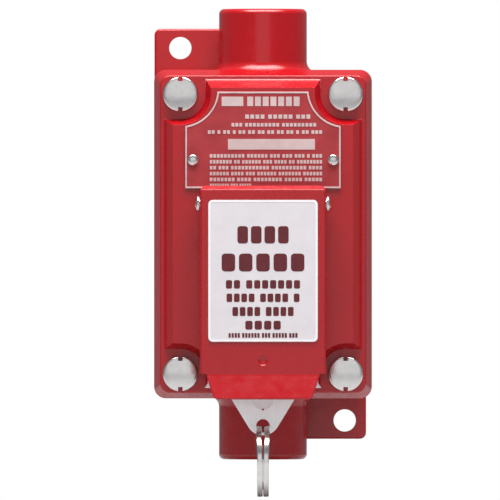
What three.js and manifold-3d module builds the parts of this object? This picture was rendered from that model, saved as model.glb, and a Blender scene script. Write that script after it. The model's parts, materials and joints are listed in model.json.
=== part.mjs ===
// Manual call point for a hazardous area: a cast box with two conduit hubs, a bolted cover, a lift door
// over a pull plate with a split ring, and a cam and plunger that work a snap switch inside the box.
// Millimetres. +Z is up, the wall is the plane y = 0, and the front of the object faces -Y.
import * as THREE from 'three';
import { mergeVertices } from 'three/addons/utils/BufferGeometryUtils.js';
import Module from 'manifold-3d';

const wasm = await Module();
wasm.setup();

// ---- Driving dimensions ----
const GAP = 0.3; // assembly gap between pieces that touch
const ROUND = 20; // facets round a medium bore or head
const SMALL_ROUND = 12; // facets round a small screw

const JOINT_HALF_X = 55.4; // box and cover outline where they meet
const JOINT_HALF_Z = 83.6;
const JOINT_CORNER = 6;
const BOX_FRONT = -58;
const BOX_FLOOR = -8;
const COVER_BACK = BOX_FRONT - GAP;
const FLANGE_FRONT = -70.3;
const PAD_FRONT = -78;
const RECESS_FLOOR = -69.5;
const COVER_DRAFT = 3; // how far the cover's edge leans in from back to front
const BOX_DRAFT = 2.9;
const PAD_HALF_X = 49.6; // the cover's raised pad, at its foot
const PAD_HALF_Z = 77.9;
const PAD_SCOOP = 13.3; // radius of the pad's scooped corners, round the bolts
const PAD_CHAMFER = 3.5;
const CAVITY_HALF_X = 43; // wiring space at the box's floor and at the cover's recess floor
const CAVITY_HALF_Z = 71.8;
const MOUTH_HALF_X = 44.5; // wiring space where the box and the cover meet
const MOUTH_HALF_Z = 73;

const BOLT_X = 42;
const BOLT_Z = 71.1;
const BOLT_SHANK = 4.75;
const BOLT_HEAD = 8.85;
const BOLT_HOLE_END = -33;

const HUB_RADIUS = 22.35;
const HUB_END = 114.8;
const HUB_Y = -30;
const HUB_BORE = 12.7;
const HUB_FLARE = 5.3; // radius of the cast fillet between hub and box
const HUB_EDGE = 2.2; // rounding of the hub's end
const LUG_FRONT = -9;
const LUG_HALF_Z = 14;
const LUG_CORNER = 3.2;
const LUG_HOLE = 5.7;
const UPPER_LUG_HOLE = [-42.2, 95.1]; // X and Z
const LOWER_LUG_HOLE = [41.8, -95.2];

const NAMEPLATE_SHEET = 1;
const NAMEPLATE_SCREW_X = 35.6;
const NAMEPLATE_SCREW_Z = 37.6;

const HINGE_Y = -89.5;
const HINGE_Z = 15.4;
const EAR_INNER_X = 22;
const EAR_WIDTH = 6.7;
const EAR_RADIUS = 5;
const DOOR_HALF_X = 32;
const DOOR_INNER_X = 29.3;
const DOOR_TOP = 24.6;
const DOOR_BOTTOM = -70.9;
const DOOR_FRONT = -98;
const DOOR_RIM = PAD_FRONT - 0.5;
const DOOR_SKIN = 3;
const DOOR_TOP_SKIN = 2.5;
const DOOR_CHAMFER = 2;
const LIP_BOTTOM = -83.9;
const LIP_FLARE = 5.3; // how far the lip's lower edge stands out
const LIP_TOP_X = 29; // half widths of the lip
const LIP_BOTTOM_X = 24.9;
const DIMPLE_RADIUS = 2.4;
const DIMPLE_Z = -64.2;
const DIMPLE_DEPTH = 0.5;
const LABEL_HALF_X = 27.8;
const LABEL_HALF_Z = 36;
const LABEL_CORNER = 2.3;
const LABEL_Z = -18.7;
const LABEL_FILM = 0.4;
const HINGE_SHANK = 2.4;
const HINGE_HEAD = 4.05;
const HINGE_HEAD_HEIGHT = 2.1;

const PLATE_FRONT = -84;
const PLATE_BACK = -82;
const PULL_TRAVEL = 12;
const GUIDE_X = 18;
const GUIDE_Z = -40;
const GUIDE_HEAD = 5;
const GUIDE_HEAD_HEIGHT = 2.4;
const GUIDE_BOSS = 6;
const SHOULDER_RADIUS = 3;
const SEAL_HOLE_Z = -89.1;
const SEAL_HOLE_RADIUS = 0.5;
const CAM_HALF_X = 6;
const CAM_TOP = -28;
const RIVET_X = 3.5;
const RIVET_Z = -31;
const RIVET_HOLE = 1.5;
const RING_HOLE_Z = -97.4;
const RING_HOLE_RADIUS = 3.4;
const RING_RADIUS = 17.3; // centre line of the ring's wire
const RING_DROP = 0.5; // the wire hangs this far below the hole's centre
const WIRE_WIDTH = 2.8;
const WIRE_DEPTH = 1.5;
const COIL_OFFSET = WIRE_WIDTH / 2 + 0.125;

const PLUNGER_Z = -46;
const PLUNGER_TIP = -80.5;
const PLUNGER_END = -56.3;
const STEM_RADIUS = 3;
const CAM_SLOPE = 0.2;
const BUSHING_RADIUS = 7;
const BUSHING_BACK = -62;
const BOSS_RADIUS = 10;
const COUNTERBORE_FLOOR = -70.7;
const COUNTERBORE_RADIUS = 5;
const SPRING_RADIUS = 3.9;

const BRACKET_FRONT = -65.7;
const BRACKET_SHEET = 2;
const BRACKET_HALF_X = 21.5;
const BRACKET_SCREW_X = 14;
const BRACKET_SCREW_Z = -28;
const SWITCH_FRONT = -52.5;
const SWITCH_BACK = -33;
const SWITCH_HALF_X = 20;
const SWITCH_HALF_Z = 10.5;
const SWITCH_SCREW_X = 14;
const SWITCH_SCREW_Y = -44;
const TERMINAL_PITCH = 13;
const GROUND_X = 27;
const GROUND_Z = 18;

// ---- Materials ----
function finish(colour, roughness, metalness) {
  return () => new THREE.MeshStandardMaterial({ color: colour, roughness, metalness });
}
const redEnamel = finish('#b42830', 0.3, 0.1);
const plateRed = finish('#9c3438', 0.6, 0.1);
const labelWhite = finish('#ebe1e2', 0.45, 0);
const polishedSteel = finish('#bab6b4', 0.2, 1);
const satinSteel = finish('#e6e4e4', 0.35, 0.9);
const springSteel = finish('#8f9094', 0.35, 1);
const bronze = finish('#a9783a', 0.4, 1);
const brass = finish('#c9a24a', 0.35, 1);
const blackPlastic = finish('#1d1d20', 0.5, 0);
const buttonRed = finish('#a31c20', 0.4, 0);

// ---- Solids ----
function solid(geometry) {
  const plain = geometry.index ? geometry.toNonIndexed() : geometry.clone();
  plain.deleteAttribute('normal');
  plain.deleteAttribute('uv');
  const merged = mergeVertices(plain, 1e-4);
  const corners = Array.from(merged.index.array);
  const triangles = [];
  for (let i = 0; i < corners.length; i += 3) {
    const [a, b, c] = corners.slice(i, i + 3);
    if (a !== b && b !== c && c !== a) {
      triangles.push([a, b, c]);
    }
  }
  const build = (faces) => new wasm.Manifold(new wasm.Mesh({
    numProp: 3,
    vertProperties: new Float32Array(merged.attributes.position.array),
    triVerts: new Uint32Array(faces.flat()),
  }));
  const body = build(triangles);
  return body.volume() > 0 ? body : build(triangles.map(([a, b, c]) => [a, c, b]));
}

function join(...bodies) {
  return bodies.reduce((whole, next) => whole.add(next));
}

function cut(body, ...tools) {
  return tools.reduce((rest, tool) => rest.subtract(tool), body);
}

function piece(name, body, material) {
  const { vertProperties, triVerts } = body.getMesh();
  const geometry = new THREE.BufferGeometry();
  geometry.setAttribute('position', new THREE.BufferAttribute(vertProperties, 3));
  geometry.setIndex(new THREE.BufferAttribute(triVerts, 1));
  geometry.computeVertexNormals();
  const mesh = new THREE.Mesh(geometry, material());
  mesh.name = name;
  return mesh;
}

function at(object, x, y, z) {
  object.position.set(x, y, z);
  return object;
}

// ---- Outlines in X and Z ----
function polygon(points) {
  return new THREE.Shape(points.map(([x, z]) => new THREE.Vector2(x, z)));
}

function roundRect(halfX, halfZ, corner, centreX = 0, centreZ = 0) {
  const shape = new THREE.Shape();
  const quarter = Math.PI / 2;
  [[1, 1], [-1, 1], [-1, -1], [1, -1]].forEach(([sideX, sideZ], turn) => {
    const x = centreX + sideX * (halfX - corner);
    const z = centreZ + sideZ * (halfZ - corner);
    shape.absarc(x, z, corner, turn * quarter, (turn + 1) * quarter, false);
  });
  return shape;
}

// A rectangle whose four corners are scooped out round the cover bolts.
function notchedRect(halfX, halfZ, scoop) {
  const shape = new THREE.Shape();
  const quarter = Math.PI / 2;
  [[1, 1], [-1, 1], [-1, -1], [1, -1]].forEach(([sideX, sideZ], turn) => {
    const besideBolt = [sideX * halfX, sideZ * (BOLT_Z - scoop)];
    const overBolt = [sideX * (BOLT_X - scoop), sideZ * halfZ];
    const [first, last] = sideX === sideZ ? [besideBolt, overBolt] : [overBolt, besideBolt];
    if (turn === 0) {
      shape.moveTo(...first);
      shape.lineTo(BOLT_X, BOLT_Z - scoop);
    } else {
      shape.lineTo(...first);
    }
    const end = (turn + 2) * quarter;
    shape.absarc(sideX * BOLT_X, sideZ * BOLT_Z, scoop, end + quarter, end, true);
    shape.lineTo(...last);
  });
  shape.closePath();
  return shape;
}

// ---- Geometry placed in the object's frame ----
function slab(shape, yFront, yBack, arcSteps = 6) {
  const options = { depth: yBack - yFront, bevelEnabled: false, curveSegments: arcSteps };
  const geometry = new THREE.ExtrudeGeometry(shape, options);
  geometry.rotateX(Math.PI / 2);
  return solid(geometry.translate(0, yBack, 0));
}

// An outline in Y and Z, carried along X.
function sideSlab(points, xLow, xHigh) {
  const geometry = new THREE.ExtrudeGeometry(polygon(points), { depth: xHigh - xLow, bevelEnabled: false });
  geometry.rotateX(Math.PI / 2);
  geometry.rotateZ(Math.PI / 2);
  return solid(geometry.translate(xLow, 0, 0));
}

function outline(shape, arcSteps) {
  const points = shape.getPoints(arcSteps);
  return points.filter((point, i) => point.distanceTo(points[(i + 1) % points.length]) > 1e-6);
}

// A skin over matching outlines, listed from the back to the front.
function loft(sections, arcSteps = 3) {
  const rings = sections.map(([shape]) => outline(shape, arcSteps));
  const count = rings[0].length;
  const corners = rings.flatMap((ring, level) => ring.flatMap((p) => [p.x, sections[level][1], p.y]));
  const faces = [];
  for (let level = 0; level + 1 < rings.length; level += 1) {
    for (let i = 0; i < count; i += 1) {
      const back = level * count + i;
      const backNext = level * count + ((i + 1) % count);
      faces.push(back, backNext, back + count, backNext, backNext + count, back + count);
    }
  }
  const front = (rings.length - 1) * count;
  THREE.ShapeUtils.triangulateShape(rings[0], []).forEach(([a, b, c]) => faces.push(a, c, b));
  THREE.ShapeUtils.triangulateShape(rings[rings.length - 1], []).forEach((face) => {
    faces.push(...face.map((corner) => front + corner));
  });
  const geometry = new THREE.BufferGeometry();
  geometry.setAttribute('position', new THREE.Float32BufferAttribute(corners, 3));
  geometry.setIndex(faces);
  return solid(geometry);
}

// A profile of [radius, y] points turned about the Y axis.
function turned(profile, facets = ROUND) {
  return solid(new THREE.LatheGeometry(profile.map(([r, y]) => new THREE.Vector2(r, y)), facets));
}

function rodY(radius, yFront, yBack, x = 0, z = 0, facets = ROUND) {
  const geometry = new THREE.CylinderGeometry(radius, radius, yBack - yFront, facets);
  return solid(geometry.translate(x, (yFront + yBack) / 2, z));
}

function rodX(radius, xLow, xHigh, y, z, facets = ROUND) {
  const geometry = new THREE.CylinderGeometry(radius, radius, xHigh - xLow, facets);
  geometry.rotateZ(Math.PI / 2);
  return solid(geometry.translate((xLow + xHigh) / 2, y, z));
}

function rodZ(radius, zLow, zHigh, x, y, facets = ROUND) {
  const geometry = new THREE.CylinderGeometry(radius, radius, zHigh - zLow, facets);
  geometry.rotateX(Math.PI / 2);
  return solid(geometry.translate(x, y, (zLow + zHigh) / 2));
}

function arcPoints(centre, radius, from, to, steps) {
  return Array.from({ length: steps + 1 }, (_, i) => {
    const angle = from + ((to - from) * i) / steps;
    return [centre[0] + radius * Math.cos(angle), centre[1] + radius * Math.sin(angle)];
  });
}

// ---- Screws ----
// A screw along Y whose head faces -Y: its seat is at y = 0 and its shank runs to +Y.
function screw(headRadius, headHeight, shankRadius, length, facets = SMALL_ROUND) {
  const edge = headHeight * 0.45;
  return turned([
    [0, -headHeight],
    [headRadius * 0.62, -headHeight * 0.92],
    [headRadius * 0.9, -headHeight * 0.68],
    [headRadius, -edge],
    [headRadius, 0],
    [shankRadius, 0],
    [shankRadius, length],
    [0, length],
  ], facets);
}

function slotted(body, headRadius, headHeight, width) {
  const slot = new THREE.BoxGeometry(headRadius * 2.4, headHeight * 0.8, width);
  return cut(body, solid(slot.translate(0, -headHeight, 0)));
}

// ---- Castings ----
function backBox() {
  const shell = loft([
    [roundRect(JOINT_HALF_X - BOX_DRAFT, JOINT_HALF_Z - BOX_DRAFT, JOINT_CORNER + 2), 0],
    [roundRect(JOINT_HALF_X, JOINT_HALF_Z, JOINT_CORNER), BOX_FRONT],
  ]);
  const flareStart = JOINT_HALF_Z - 0.8;
  const flareCentre = [HUB_RADIUS + HUB_FLARE, flareStart + HUB_FLARE];
  const hubProfile = [
    [0, 40],
    [HUB_RADIUS + HUB_FLARE, 40],
    ...arcPoints(flareCentre, HUB_FLARE, -Math.PI / 2, -Math.PI, 3),
    [HUB_RADIUS, HUB_END - HUB_EDGE],
    [HUB_RADIUS - HUB_EDGE * 0.3, HUB_END - HUB_EDGE * 0.3],
    [HUB_RADIUS - HUB_EDGE, HUB_END],
    [0, HUB_END],
  ].map(([radius, height]) => new THREE.Vector2(radius, height));
  const hubs = [1, -1].map((side) => {
    const hub = new THREE.LatheGeometry(hubProfile, 28);
    hub.rotateX((side * Math.PI) / 2);
    return solid(hub.translate(0, HUB_Y, 0));
  });
  const upperLug = slab(roundRect(21, LUG_HALF_Z, LUG_CORNER, -34.4, 90.9), LUG_FRONT, 0, 3);
  const lowerLug = slab(roundRect(20, LUG_HALF_Z, LUG_CORNER, 32.7, -90.6), LUG_FRONT, 0, 3);
  const cavity = loft([
    [notchedRect(CAVITY_HALF_X, CAVITY_HALF_Z, 13), BOX_FLOOR],
    [notchedRect(MOUTH_HALF_X, MOUTH_HALF_Z, 12), BOX_FRONT - 1],
  ]);
  const bores = [1, -1].map((side) => {
    const ends = [side * 60, side * (HUB_END + 1)].sort((a, b) => a - b);
    return rodZ(HUB_BORE, ...ends, 0, HUB_Y);
  });
  const boltHoles = boltPlaces().map(({ x, z }) => (
    rodY(BOLT_SHANK + GAP, BOX_FRONT - 1, BOLT_HOLE_END, x, z)));
  const lugHoles = [UPPER_LUG_HOLE, LOWER_LUG_HOLE].map((centre) => (
    rodY(LUG_HOLE, LUG_FRONT - 1, 1, ...centre)));
  const groundHole = rodY(2.5, BOX_FLOOR - 1, -3.5, GROUND_X, GROUND_Z, SMALL_ROUND);
  const blank = join(shell, ...hubs, upperLug, lowerLug);
  return piece('back_box', cut(blank, cavity, ...bores, ...boltHoles, ...lugHoles, groundHole), redEnamel);
}

// One hinge ear: it leaves the pad below the hinge and rises to the pivot, so that the door's top
// wall can swing down behind the pivot when the door opens.
function hingeEar(side) {
  const pivot = [HINGE_Y, HINGE_Z];
  const profile = [
    [PAD_FRONT + 1, -12],
    [PAD_FRONT + 1, 0],
    [HINGE_Y + 4, 4.5],
    ...arcPoints(pivot, EAR_RADIUS, -Math.PI * 0.2, Math.PI * 1.2, 14),
    [HINGE_Y - 4, 0],
    [HINGE_Y + 1, -8],
  ];
  const low = side > 0 ? EAR_INNER_X : -EAR_INNER_X - EAR_WIDTH;
  return cut(
    sideSlab(profile, low, low + EAR_WIDTH),
    rodX(HINGE_SHANK + GAP, low - 1, low + 8, ...pivot, SMALL_ROUND),
  );
}

function frontCover() {
  const flange = loft([
    [roundRect(JOINT_HALF_X, JOINT_HALF_Z, JOINT_CORNER), COVER_BACK],
    [roundRect(JOINT_HALF_X - COVER_DRAFT, JOINT_HALF_Z - COVER_DRAFT, JOINT_CORNER - 1), FLANGE_FRONT],
  ]);
  const pad = loft([
    [notchedRect(PAD_HALF_X, PAD_HALF_Z, PAD_SCOOP), FLANGE_FRONT + 1],
    [notchedRect(PAD_HALF_X, PAD_HALF_Z, PAD_SCOOP), FLANGE_FRONT],
    [notchedRect(PAD_HALF_X - PAD_CHAMFER, PAD_HALF_Z - PAD_CHAMFER, 15.5), PAD_FRONT],
  ]);
  const recess = loft([
    [notchedRect(MOUTH_HALF_X, MOUTH_HALF_Z, 11.8), COVER_BACK + 1],
    [notchedRect(CAVITY_HALF_X, CAVITY_HALF_Z, 12.5), RECESS_FLOOR],
  ]);
  const plungerBoss = rodY(BOSS_RADIUS, RECESS_FLOOR - 1, BUSHING_BACK - GAP, 0, PLUNGER_Z);
  const bracketBosses = [1, -1].map((side) => (
    rodY(4.5, RECESS_FLOOR - 1, BRACKET_FRONT - GAP, side * BRACKET_SCREW_X, BRACKET_SCREW_Z, SMALL_ROUND)));
  const guideBosses = [1, -1].map((side) => (
    rodY(GUIDE_BOSS, PLATE_BACK + GAP, PAD_FRONT + 1, side * GUIDE_X, GUIDE_Z)));
  const holes = [
    rodY(BUSHING_RADIUS + GAP, PAD_FRONT - 1, BOX_FRONT, 0, PLUNGER_Z),
    ...boltPlaces().map(({ x, z }) => rodY(BOLT_SHANK + 0.6, FLANGE_FRONT - 1, BOX_FRONT, x, z)),
    ...[1, -1].flatMap((side) => [
      rodY(2.2, -73, BRACKET_FRONT, side * BRACKET_SCREW_X, BRACKET_SCREW_Z, SMALL_ROUND),
      rodY(2.4, PLATE_BACK - 1, -73, side * GUIDE_X, GUIDE_Z, SMALL_ROUND),
      rodY(1.6, PAD_FRONT - 1, -72.5, side * NAMEPLATE_SCREW_X, NAMEPLATE_SCREW_Z, SMALL_ROUND),
    ]),
  ];
  const hollow = cut(join(flange, pad), recess);
  const blank = join(hollow, plungerBoss, ...bracketBosses, ...guideBosses, hingeEar(1), hingeEar(-1));
  return piece('front_cover', cut(blank, ...holes), redEnamel);
}

function boltPlaces() {
  return [1, -1].flatMap((sideZ) => [-1, 1].map((sideX) => ({
    x: sideX * BOLT_X,
    z: sideZ * BOLT_Z,
    name: `${sideZ > 0 ? 'top' : 'bottom'}_${sideX > 0 ? 'right' : 'left'}`,
  })));
}

// A cover bolt with a low crown and two notches in the head's rim. Its head seats at y = 0.
function coverBolts() {
  const headHeight = 4.6;
  const blank = turned([
    [0, -headHeight],
    [BOLT_HEAD * 0.5, 0.15 - headHeight],
    [BOLT_HEAD * 0.85, 0.5 - headHeight],
    [BOLT_HEAD * 0.96, 0.8 - headHeight],
    [BOLT_HEAD, 1.3 - headHeight],
    [BOLT_HEAD, 0],
    [BOLT_SHANK, 0],
    [BOLT_SHANK, 34],
    [BOLT_SHANK - 1, 35],
    [0, 35],
  ], 24);
  const notches = [1, -1].map((side) => {
    const notch = new THREE.BoxGeometry(2.3, headHeight * 3, 4.6);
    return solid(notch.translate(0, -headHeight * 1.5 + 0.01, side * BOLT_HEAD));
  });
  const body = cut(blank, ...notches);
  return boltPlaces().map(({ x, z, name }) => (
    at(piece(`cover_bolt_${name}`, body, polishedSteel), x, FLANGE_FRONT - GAP, z)));
}

// ---- Nameplate ----
function nameplateParts() {
  const [halfX, top, bottom, scoop, scoopX, scoopZ] = [39.6, 72.4, 23.1, 18.8, 42, 73.6];
  const lowAngle = Math.acos((scoopX - halfX) / scoop);
  const highAngle = Math.asin((scoopZ - top) / scoop);
  const shape = new THREE.Shape();
  shape.moveTo(-halfX, bottom);
  shape.lineTo(halfX, bottom);
  shape.absarc(scoopX, scoopZ, scoop, Math.PI + lowAngle, Math.PI + highAngle, true);
  shape.absarc(-scoopX, scoopZ, scoop, -highAngle, -lowAngle, true);
  shape.closePath();
  const plateFront = PAD_FRONT - GAP - NAMEPLATE_SHEET;
  const holes = [1, -1].map((side) => (
    rodY(1.6, plateFront - 1, PAD_FRONT, side * NAMEPLATE_SCREW_X, NAMEPLATE_SCREW_Z, SMALL_ROUND)));
  const plate = piece('nameplate', cut(slab(shape, plateFront, PAD_FRONT - GAP), ...holes), plateRed);
  const drive = screw(2.7, 1.3, 1.25, 5);
  const screws = [1, -1].map((side) => {
    const mesh = piece(`nameplate_screw_${side > 0 ? 'right' : 'left'}`, drive, polishedSteel);
    return at(mesh, side * NAMEPLATE_SCREW_X, plateFront - GAP, NAMEPLATE_SCREW_Z);
  });
  return [plate, ...screws];
}

// ---- Lift door ----
function doorShell() {
  const pivot = [HINGE_Y, HINGE_Z];
  const topRadius = DOOR_TOP - HINGE_Z;
  const outer = sideSlab([
    [DOOR_RIM, DOOR_BOTTOM],
    [DOOR_RIM, HINGE_Z - 3.4],
    ...arcPoints(pivot, topRadius, 0, Math.PI / 2, 8),
    [DOOR_FRONT + DOOR_CHAMFER, DOOR_TOP],
    [DOOR_FRONT, DOOR_TOP - DOOR_CHAMFER],
    [DOOR_FRONT, DOOR_BOTTOM],
  ], -DOOR_HALF_X, DOOR_HALF_X);
  const face = slab(polygon([
    [-DOOR_HALF_X, DOOR_BOTTOM],
    [DOOR_HALF_X, DOOR_BOTTOM],
    [DOOR_HALF_X, DOOR_TOP - 2.2],
    [DOOR_HALF_X - 2.8, DOOR_TOP],
    [2.8 - DOOR_HALF_X, DOOR_TOP],
    [-DOOR_HALF_X, DOOR_TOP - 2.2],
  ]), DOOR_FRONT - 1, DOOR_RIM + 1);
  const topWallEnd = Math.PI * 0.28; // how far the top wall wraps back over the hinge
  const hollow = sideSlab([
    [DOOR_RIM + 5, DOOR_BOTTOM - 5],
    [DOOR_RIM + 5, DOOR_TOP + 2],
    [HINGE_Y + 14 * Math.cos(topWallEnd), HINGE_Z + 14 * Math.sin(topWallEnd)],
    ...arcPoints(pivot, topRadius - DOOR_TOP_SKIN, topWallEnd, Math.PI / 2, 5),
    [DOOR_FRONT + DOOR_SKIN + 1.5, DOOR_TOP - DOOR_TOP_SKIN],
    [DOOR_FRONT + DOOR_SKIN, DOOR_TOP - DOOR_TOP_SKIN - 1.5],
    [DOOR_FRONT + DOOR_SKIN, DOOR_BOTTOM - 5],
  ], -DOOR_INNER_X, DOOR_INNER_X);
  const lipBar = sideSlab([
    [DOOR_FRONT + DOOR_SKIN, DOOR_BOTTOM + 0.5],
    [DOOR_FRONT, DOOR_BOTTOM + 0.5],
    [DOOR_FRONT, DOOR_BOTTOM],
    [DOOR_FRONT - LIP_FLARE, LIP_BOTTOM],
    [DOOR_FRONT - LIP_FLARE + DOOR_SKIN, LIP_BOTTOM],
    [DOOR_FRONT + DOOR_SKIN, DOOR_BOTTOM],
  ], -DOOR_HALF_X, DOOR_HALF_X);
  const lipFace = slab(polygon([
    [-LIP_BOTTOM_X, LIP_BOTTOM + 1.2],
    [1.4 - LIP_BOTTOM_X, LIP_BOTTOM],
    [LIP_BOTTOM_X - 1.4, LIP_BOTTOM],
    [LIP_BOTTOM_X, LIP_BOTTOM + 1.2],
    [LIP_TOP_X, DOOR_BOTTOM],
    [LIP_TOP_X, DOOR_BOTTOM + 0.5],
    [-LIP_TOP_X, DOOR_BOTTOM + 0.5],
    [-LIP_TOP_X, DOOR_BOTTOM],
  ]), DOOR_FRONT - LIP_FLARE - 1, DOOR_RIM);
  const shell = cut(outer.intersect(face), hollow);
  const pivotHole = rodX(HINGE_SHANK + GAP, -40, 40, ...pivot, SMALL_ROUND);
  const dimple = rodY(DIMPLE_RADIUS, DOOR_FRONT - 1, DOOR_FRONT + DIMPLE_DEPTH, 0, DIMPLE_Z, SMALL_ROUND);
  const whole = cut(join(shell, lipBar.intersect(lipFace)), pivotHole, dimple);
  return whole.translate([0, -HINGE_Y, -HINGE_Z]);
}

function door() {
  const group = at(new THREE.Group(), 0, HINGE_Y, HINGE_Z);
  const labelShape = roundRect(LABEL_HALF_X, LABEL_HALF_Z, LABEL_CORNER, 0, LABEL_Z - HINGE_Z);
  const labelBack = DOOR_FRONT - GAP - HINGE_Y;
  group.add(piece('lift_door', doorShell(), redEnamel));
  group.add(piece('door_label', slab(labelShape, labelBack - LABEL_FILM, labelBack, 3), labelWhite));
  return group;
}

function hingeScrews() {
  const blank = screw(HINGE_HEAD, HINGE_HEAD_HEIGHT, HINGE_SHANK, 14);
  const body = slotted(blank, HINGE_HEAD, HINGE_HEAD_HEIGHT, 0.9);
  return [1, -1].map((side) => {
    const mesh = piece(`hinge_screw_${side > 0 ? 'right' : 'left'}`, body, polishedSteel);
    mesh.rotation.z = (side * Math.PI) / 2;
    return at(mesh, side * (DOOR_HALF_X + GAP), HINGE_Y, HINGE_Z);
  });
}

// ---- Pull plate, cam and ring ----
function pullPlate() {
  const [shoulder, shoulderZ, tip, tipZ] = [15.9, -84, 8.6, -93.6];
  const reach = Math.hypot(shoulder, shoulderZ - tipZ);
  const tangent = Math.atan2(shoulderZ - tipZ, shoulder) - Math.acos(tip / reach);
  const shape = new THREE.Shape();
  shape.moveTo(-28, -14);
  shape.lineTo(-28, -75.6);
  shape.lineTo(-29.6, -78.1);
  shape.lineTo(-20, -78.1);
  shape.lineTo(-shoulder, shoulderZ);
  shape.absarc(0, tipZ, tip, Math.PI - tangent, tangent, false);
  shape.lineTo(shoulder, shoulderZ);
  shape.lineTo(20, -78.1);
  shape.lineTo(29.6, -78.1);
  shape.lineTo(28, -75.6);
  shape.lineTo(28, -14);
  const slots = [1, -1].map((side) => {
    const halfX = SHOULDER_RADIUS + GAP;
    const halfZ = halfX + PULL_TRAVEL / 2 + GAP;
    const slot = roundRect(halfX, halfZ, halfX - 0.01, side * GUIDE_X, GUIDE_Z + PULL_TRAVEL / 2);
    return slab(slot, PLATE_FRONT - 1, PLATE_BACK + 1, 5);
  });
  const rivetHoles = [1, -1].map((side) => (
    rodY(RIVET_HOLE, PLATE_FRONT - 1, PLATE_BACK + 1, side * RIVET_X, RIVET_Z, SMALL_ROUND)));
  const ringHole = rodY(RING_HOLE_RADIUS, PLATE_FRONT - 1, PLATE_BACK + 1, 0, RING_HOLE_Z, 24);
  const sealHole = rodY(SEAL_HOLE_RADIUS, PLATE_FRONT - 1, PLATE_BACK + 1, 0, SEAL_HOLE_Z, 8);
  const sheet = slab(shape, PLATE_FRONT, PLATE_BACK);
  return piece('pull_plate', cut(sheet, ...slots, ...rivetHoles, ringHole, sealHole), satinSteel);
}

// The wedge behind the pull plate: its back face rises by CAM_SLOPE over the plate's travel.
function camParts() {
  const seat = PLATE_BACK + GAP;
  const contact = PLUNGER_TIP - GAP;
  const lift = CAM_SLOPE * PULL_TRAVEL;
  const block = sideSlab([
    [seat, PLUNGER_Z - 3],
    [contact - CAM_SLOPE * 3, PLUNGER_Z - 3],
    [contact + lift, PLUNGER_Z + PULL_TRAVEL],
    [contact + lift, CAM_TOP],
    [seat, CAM_TOP],
  ], -CAM_HALF_X, CAM_HALF_X);
  const holes = [1, -1].map((side) => (
    rodY(RIVET_HOLE, seat - 1, PAD_FRONT, side * RIVET_X, RIVET_Z, SMALL_ROUND)));
  const rivet = screw(2.4, 0.9, 1.2, 5.4);
  const rivets = [1, -1].map((side) => {
    const mesh = piece(`cam_rivet_${side > 0 ? 'right' : 'left'}`, rivet, polishedSteel);
    return at(mesh, side * RIVET_X, PLATE_FRONT - GAP, RIVET_Z);
  });
  return [piece('cam_block', cut(block, ...holes), springSteel), ...rivets];
}

// The centre line of the split ring's wire: nearly two turns with a step from one coil to the other.
class RingPath extends THREE.Curve {
  getPoint(t, target = new THREE.Vector3()) {
    const start = (150 * Math.PI) / 180;
    const stepFrom = (335 * Math.PI) / 180;
    const stepTo = 2 * Math.PI;
    const sweep = (693 * Math.PI) / 180;
    const turn = t * sweep;
    const across = THREE.MathUtils.smoothstep(turn, stepFrom, stepTo) * 2 - 1;
    const angle = start + turn;
    const x = across * COIL_OFFSET;
    return target.set(x, RING_RADIUS * Math.sin(angle), RING_RADIUS * (Math.cos(angle) - 1));
  }
}

function splitRing() {
  const [x, y, bevel] = [WIRE_WIDTH / 2, WIRE_DEPTH / 2, 0.4];
  const section = polygon([
    [x, y - bevel], [x - bevel, y], [bevel - x, y], [-x, y - bevel],
    [-x, bevel - y], [bevel - x, -y], [x - bevel, -y], [x, bevel - y],
  ]);
  const options = { steps: 62, bevelEnabled: false, extrudePath: new RingPath() };
  const body = solid(new THREE.ExtrudeGeometry(section, options)).translate([0, 0, -RING_DROP]);
  return at(piece('split_ring', body, polishedSteel), 0, (PLATE_FRONT + PLATE_BACK) / 2, RING_HOLE_Z);
}

function guideScrews() {
  const shoulderLength = PLATE_BACK - PLATE_FRONT + GAP;
  const blank = turned([
    [0, -GUIDE_HEAD_HEIGHT],
    [GUIDE_HEAD - 0.6, -GUIDE_HEAD_HEIGHT],
    [GUIDE_HEAD, 0.6 - GUIDE_HEAD_HEIGHT],
    [GUIDE_HEAD, 0],
    [SHOULDER_RADIUS, 0],
    [SHOULDER_RADIUS, shoulderLength],
    [2.1, shoulderLength],
    [2.1, 10],
    [0, 10],
  ], 18);
  const body = slotted(blank, GUIDE_HEAD, GUIDE_HEAD_HEIGHT, 1.2);
  return [1, -1].map((side) => {
    const mesh = piece(`guide_screw_${side > 0 ? 'right' : 'left'}`, body, polishedSteel);
    return at(mesh, side * GUIDE_X, PLATE_FRONT - GAP, GUIDE_Z);
  });
}

// ---- Plunger through the cover ----
class HelixPath extends THREE.Curve {
  constructor(radius, from, to, turns) {
    super();
    Object.assign(this, { radius, from, to, turns });
  }

  getPoint(t, target = new THREE.Vector3()) {
    const angle = t * this.turns * 2 * Math.PI;
    const y = this.from + (this.to - this.from) * t;
    return target.set(this.radius * Math.cos(angle), y, this.radius * Math.sin(angle));
  }
}

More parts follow.
